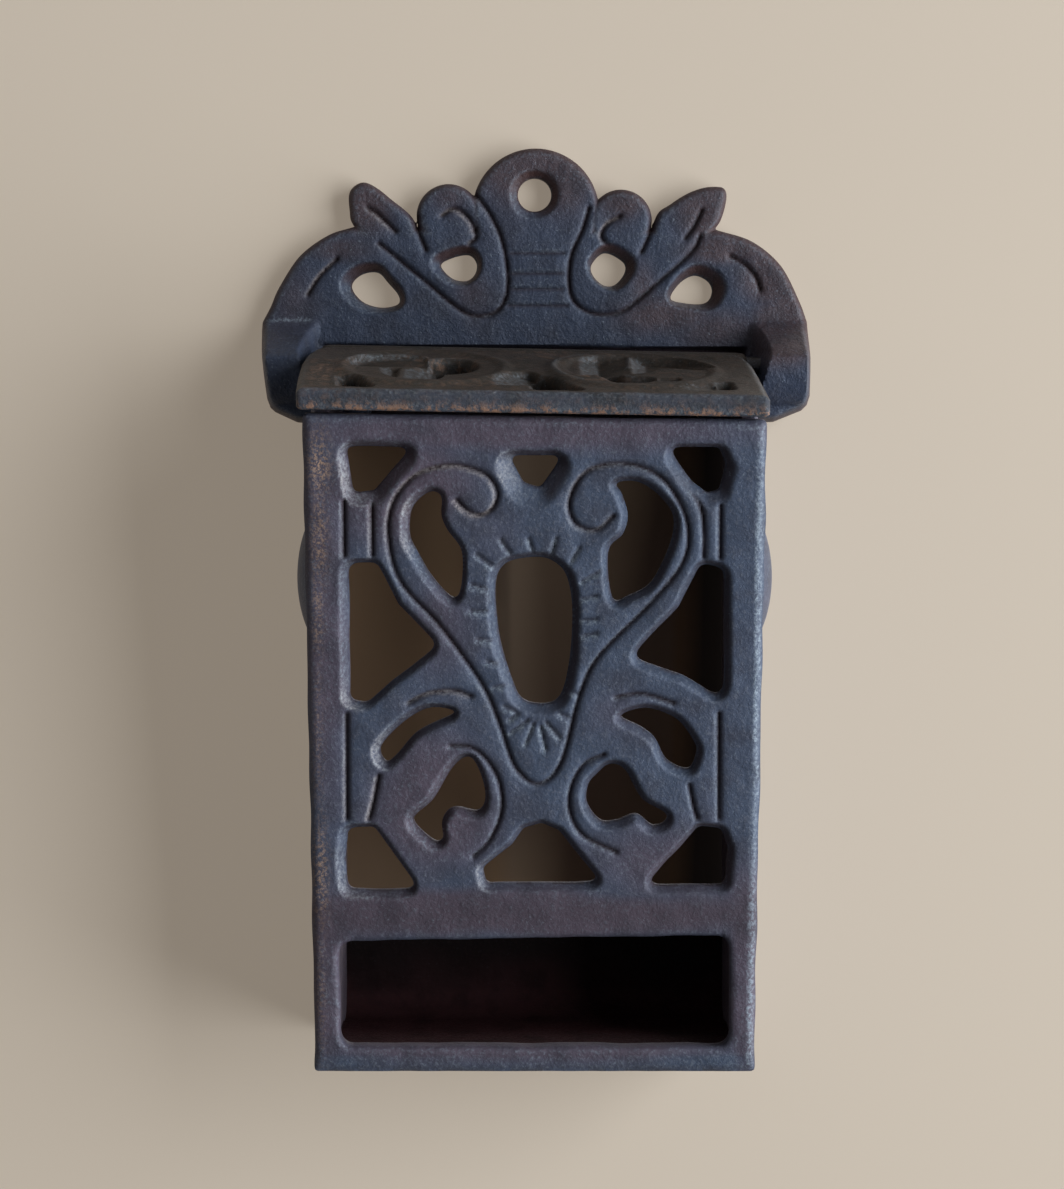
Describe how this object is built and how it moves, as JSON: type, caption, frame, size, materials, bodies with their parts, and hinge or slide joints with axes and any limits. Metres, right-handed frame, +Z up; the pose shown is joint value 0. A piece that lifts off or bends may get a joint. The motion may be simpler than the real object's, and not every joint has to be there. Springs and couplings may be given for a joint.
{
  "type": "wall match holder",
  "caption": "Cast iron wall match holder with a crested back plate, a pierced scrollwork front, a dispensing slot over a tray, and a hinged pierced lid.",
  "frame": {"origin": "centre of the hanging hole, on the wall plane", "axes": "+X to the right as seen from the front, -Y out of the wall towards the viewer, +Z up"},
  "size_m": [0.1006, 0.0485, 0.1644],
  "materials": {
    "body_iron": "dark cast iron, fine sand grain, slight rust",
    "tray_iron": "dark cast iron with a brown rust tone",
    "lid_iron": "dark cast iron, worn",
    "pin_steel": "dark drawn steel",
    "rivet_iron": "dark hammered iron"
  },
  "bodies": {
    "holder": {"back_plate": "body_iron", "front_panel": "body_iron", "left_side": "body_iron", "right_side": "body_iron", "match_tray": "tray_iron", "front_rivets": "rivet_iron", "back_rivets": "rivet_iron"},
    "lid": {"lid": "lid_iron", "left_hinge_pin": "pin_steel", "right_hinge_pin": "pin_steel"}
  },
  "joints": [
    {"name": "lid_hinge", "type": "hinge", "parent": "holder", "child": "lid", "pos_m": [0, -0.0095, -0.0314], "axis": [-1, 0, 0], "range_deg": [0, 103]}
  ]
}
